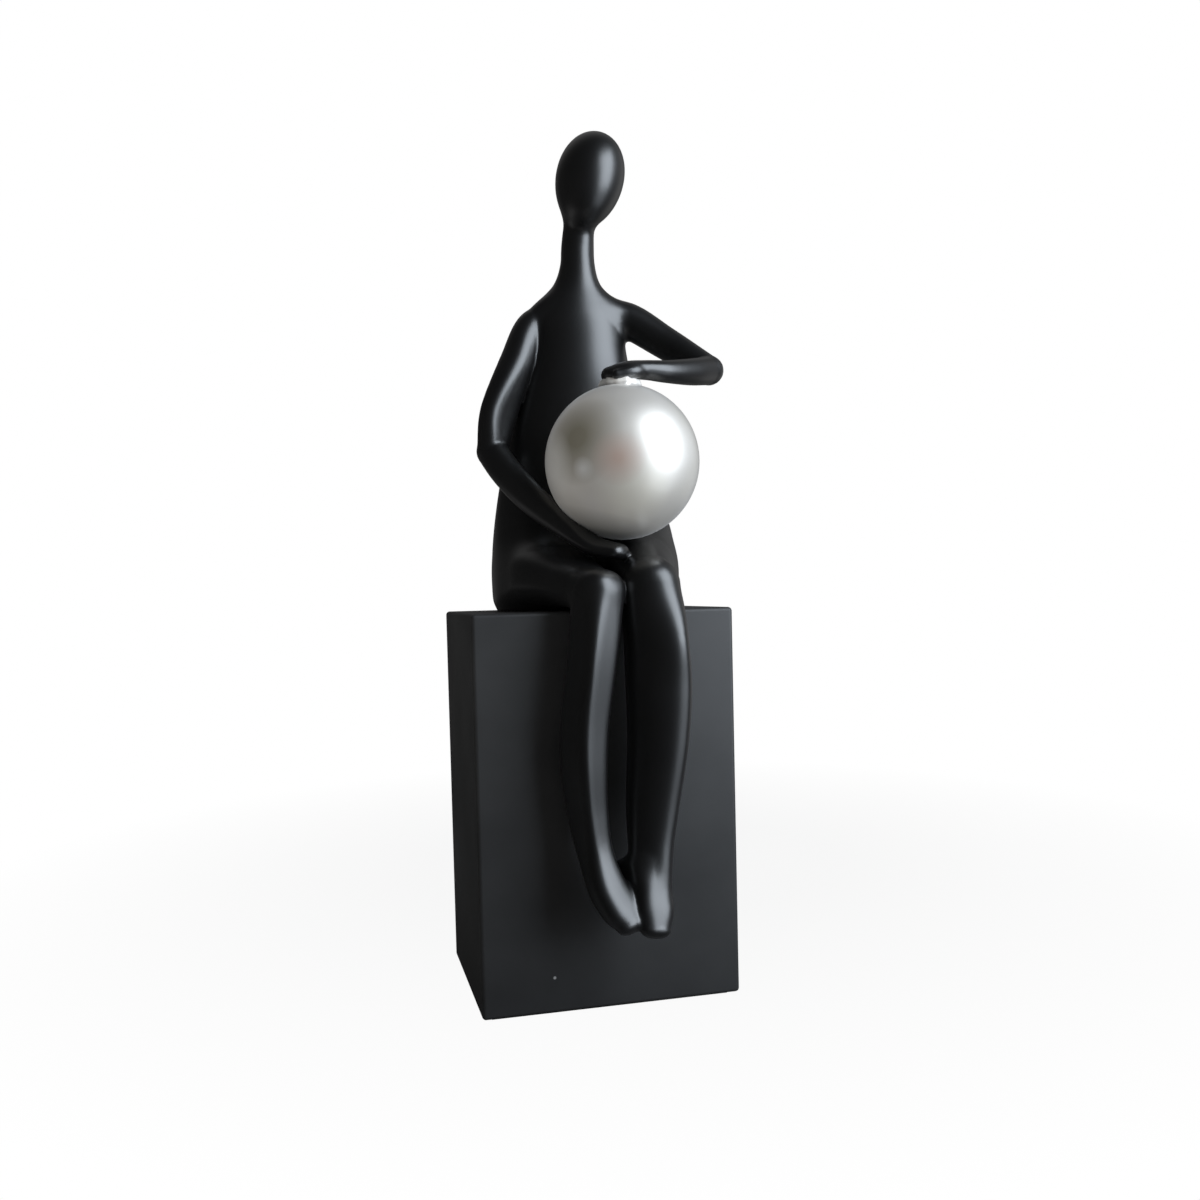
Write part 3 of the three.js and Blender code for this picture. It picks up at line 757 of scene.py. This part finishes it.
def seen_share(tree, mirrored):
    """1 for rays from the camera, `mirrored` for glossy and passing rays, and 0 for the rest."""
    path = tree.nodes.new("ShaderNodeLightPath")
    glossy, clear = path.outputs["Is Glossy Ray"], path.outputs["Is Transmission Ray"]
    passing = math_node(tree, "MULTIPLY", math_node(tree, "MAXIMUM", glossy, clear), mirrored)
    return math_node(tree, "MAXIMUM", path.outputs["Is Camera Ray"], passing)


def stage_floor():
    """A round pale floor whose rim runs out into the white surround."""
    radius = 0.34
    middle = Vector((0.06, 0.16, 0))
    disc = bmesh.new()
    bmesh.ops.create_circle(disc, cap_ends=True, segments=96, radius=radius)
    mesh = bpy.data.meshes.new("floor")
    disc.to_mesh(mesh)
    floor = bpy.data.objects.new("floor", mesh)
    floor.location = middle
    bpy.context.scene.collection.objects.link(floor)
    material, tree, shader = new_material("pale floor")
    shader.inputs["Roughness"].default_value = 0.8
    shader.inputs["Specular IOR Level"].default_value = 0
    spot = tree.nodes.new("ShaderNodeTexCoord")
    away = tree.nodes.new("ShaderNodeVectorMath")
    away.operation = "LENGTH"
    tree.links.new(spot.outputs["Object"], away.inputs[0])
    start, end = 0.1, radius * 0.97
    lift = map_range(tree, away.outputs["Value"], start, end, 0.92, 1)
    tone = map_range(tree, away.outputs["Value"], start, end, 0.12, 0.03)
    tree.links.new(tone, shader.inputs["Base Color"])
    glow = tree.nodes.new("ShaderNodeEmission")
    mix = tree.nodes.new("ShaderNodeMixShader")
    tree.links.new(math_node(tree, "MULTIPLY", seen_share(tree, 0.02), lift), mix.inputs["Fac"])
    tree.links.new(shader.outputs["BSDF"], mix.inputs[1])
    tree.links.new(glow.outputs["Emission"], mix.inputs[2])
    tree.links.new(mix.outputs["Shader"], tree.nodes["Material Output"].inputs["Surface"])
    mesh.materials.append(material)


def studio_world():
    """A white background, a soft fill for matt surfaces, and a dim room for what gloss mirrors."""
    world = bpy.data.worlds.new("studio")
    bpy.context.scene.world = world
    world.use_nodes = True
    tree = world.node_tree
    way = tree.nodes.new("ShaderNodeTexCoord").outputs["Generated"]
    behind = map_range(tree, along(tree, way, (0.24, 0.97, 0)), 0.2, 0.7, 0, 1)
    side = along(tree, way, (0.97, -0.24, 0))
    right = map_range(tree, side, 0.4, 0.8, 0, 0.3)
    left = map_range(tree, side, -0.7, -0.2, 0.03, 0.1)
    wings = math_node(tree, "MULTIPLY", behind, math_node(tree, "ADD", right, left))
    above = map_range(tree, along(tree, way, (0.1, 0.65, 0.75)), 0.78, 1, 0.02, 0.2)
    low = map_range(tree, along(tree, way, (-0.58, 0.38, -0.72)), 0.8, 0.98, 0, 0.3)
    glow = math_node(tree, "MAXIMUM", low, math_node(tree, "MAXIMUM", wings, above))
    mirrored = seen_share(tree, glow)
    unseen = math_node(tree, "SUBTRACT", 1, seen_share(tree, 1))
    from_left = map_range(tree, along(tree, way, (-0.98, -0.15, -0.1)), 0.3, 1, 0.18, 0.75)
    from_front = map_range(tree, along(tree, way, (-0.25, -0.5, -0.83)), 0.2, 1, 0, 0.6)
    fill = math_node(tree, "MULTIPLY", unseen, math_node(tree, "ADD", from_left, from_front))
    tree.nodes["Background"].inputs["Color"].default_value = (1, 1, 1, 1)
    tree.links.new(math_node(tree, "ADD", mirrored, fill), tree.nodes["Background"].inputs["Strength"])


def softbox(name, direction, distance, width, height, power):
    """A rectangular lamp that looks at the object from a direction, in metres and watts."""
    lamp = bpy.data.lights.new(name, "AREA")
    lamp.shape = "RECTANGLE"
    lamp.color = DAYLIGHT
    lamp.size = width
    lamp.size_y = height
    lamp.energy = power
    holder = bpy.data.objects.new(name, lamp)
    way = Vector(direction).normalized()
    holder.location = LAMP_AIM + way * distance
    holder.rotation_euler = way.to_track_quat("Z", "Y").to_euler()
    bpy.context.scene.collection.objects.link(holder)


def photo_camera():
    """A camera at the photo's viewpoint, fitted in a frame of 1200 pixels."""
    position = Vector((-90.0, -385.12, 135.71)) * MM
    yaw, pitch, roll = (math.radians(a) for a in (14.077, -2.543, -1.394))
    focal_pixels = 1137.6
    frame_pixels = 1200
    drop_pixels = 40
    level = Vector((math.cos(yaw), -math.sin(yaw), 0))
    ahead = Vector((math.sin(yaw), math.cos(yaw), 0))
    forward = math.cos(pitch) * ahead + Vector((0, 0, math.sin(pitch)))
    above = level.cross(forward)
    right = math.cos(roll) * level + math.sin(roll) * above
    up = math.cos(roll) * above - math.sin(roll) * level
    data = bpy.data.cameras.new("camera")
    data.lens = focal_pixels / frame_pixels * data.sensor_width
    data.shift_y = drop_pixels / frame_pixels
    data.clip_start = 0.01
    camera = bpy.data.objects.new("camera", data)
    turn = Matrix((right, up, -forward)).transposed().to_4x4()
    camera.matrix_world = Matrix.Translation(position) @ turn
    bpy.context.scene.collection.objects.link(camera)
    bpy.context.scene.camera = camera


def dress_nodes():
    """Materials on the solids that are shown as they are: base plate, felt and steel fixings."""
    fixing = steel()
    looks = {"base_plate": board(), "base_felt": felt()}
    for name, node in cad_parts.items():
        if node.hide_render:
            continue
        node.data.materials.clear()
        node.data.materials.append(looks.get(name, fixing))


bpy.context.scene.view_settings.view_transform = "Standard"
black = figure_paint()
surface = figure_surface()
for form_name in NAMES:
    figure_piece(form_name, surface, black)
ball_form(silver_paint())
plinth_form(plinth_paint())
dress_nodes()
stage_floor()
studio_world()
softbox("main softbox", (0.75, -0.66, 0.42), 0.8, 0.6, 0.85, 9.2)
softbox("low softbox", (0.75, -0.66, -0.42), 0.85, 0.6, 0.45, 0.9)
photo_camera()
